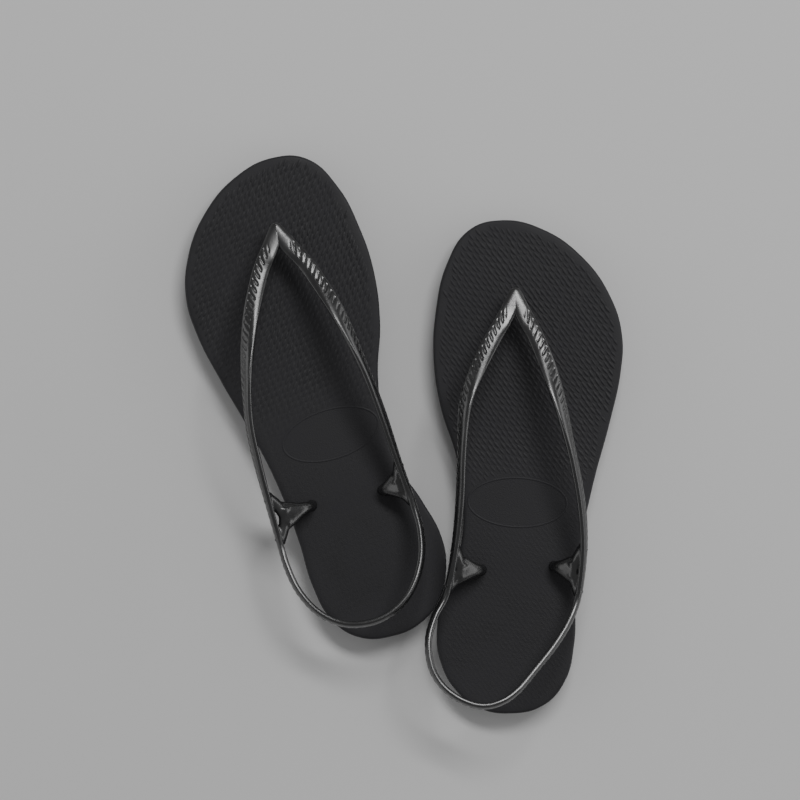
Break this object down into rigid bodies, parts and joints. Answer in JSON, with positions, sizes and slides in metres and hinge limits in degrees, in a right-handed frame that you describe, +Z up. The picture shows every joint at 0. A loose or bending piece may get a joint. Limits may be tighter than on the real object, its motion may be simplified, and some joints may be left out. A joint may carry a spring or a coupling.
{
  "type": "pair of slingback flip flops",
  "caption": "Left and right flip flops with slim one-piece glossy thong straps that run on as a sling round the heel.",
  "frame": {"origin": "middle of the pair's footprint, on the floor that both outsoles rest on", "axes": "+Z up, +Y towards the toes, +X towards the right sandal's outer side"},
  "size_m": [0.2179, 0.2776, 0.0517],
  "materials": {
    "footbed_rubber": "matt foamed rubber with a rice-grain relief",
    "outsole_rubber": "matt foamed rubber",
    "strap_rubber": "glossy moulded rubber"
  },
  "bodies": {
    "right_sandal": {"right_footbed": "footbed_rubber", "right_outsole": "outsole_rubber", "right_thong_strap": "strap_rubber"},
    "right_sling": {"right_heel_sling": "strap_rubber"},
    "left_sandal": {"left_footbed": "footbed_rubber", "left_outsole": "outsole_rubber", "left_thong_strap": "strap_rubber"},
    "left_sling": {"left_heel_sling": "strap_rubber"}
  },
  "joints": [
    {"name": "right_sling_flex", "type": "hinge", "parent": "right_sandal", "child": "right_sling", "pos_m": [0.05378, -0.07783, 0.032], "axis": [-1, 0.0044, 0], "range_deg": [-20, 60], "stiffness_Nm_per_rad": 0.05},
    {"name": "left_sandal_apart", "type": "slide", "parent": "right_sandal", "child": "left_sandal", "axis": [-1, 0, 0], "range_m": [0, 0.1]},
    {"name": "left_sling_flex", "type": "hinge", "parent": "left_sandal", "child": "left_sling", "pos_m": [-0.02848, -0.04359, 0.032], "axis": [-0.9644, -0.2645, 0], "range_deg": [-20, 60], "stiffness_Nm_per_rad": 0.05}
  ]
}
